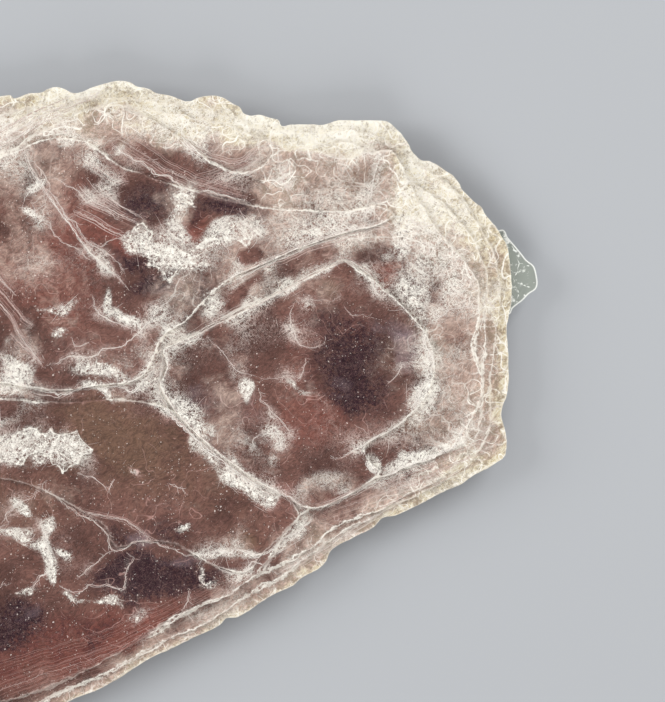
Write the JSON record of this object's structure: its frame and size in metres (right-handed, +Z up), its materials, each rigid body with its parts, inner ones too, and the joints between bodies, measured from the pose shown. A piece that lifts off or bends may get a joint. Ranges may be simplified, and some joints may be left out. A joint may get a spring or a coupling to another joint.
{
  "type": "lepidolite mica book",
  "caption": "Flat cleavage plate of lilac-brown lepidolite mica with a pale torn rim, stepped sheets and a thin clear tongue at one end.",
  "frame": {"origin": "centre of the plate's footprint box, on the surface that it rests on", "axes": "+X along the length, towards the narrow end with the clear tongue; +Y across the plate; +Z up through the thickness, out of the stepped face"},
  "size_m": [0.084, 0.0668, 0.0053],
  "materials": {
    "lepidolite": "pearly cleavage sheen, translucent and pale at the thin rim",
    "clear_mica": "glossy, colourless thin cleavage sheet"
  },
  "bodies": {
    "root": {"lepidolite_book": "lepidolite"}
  },
  "joints": []
}
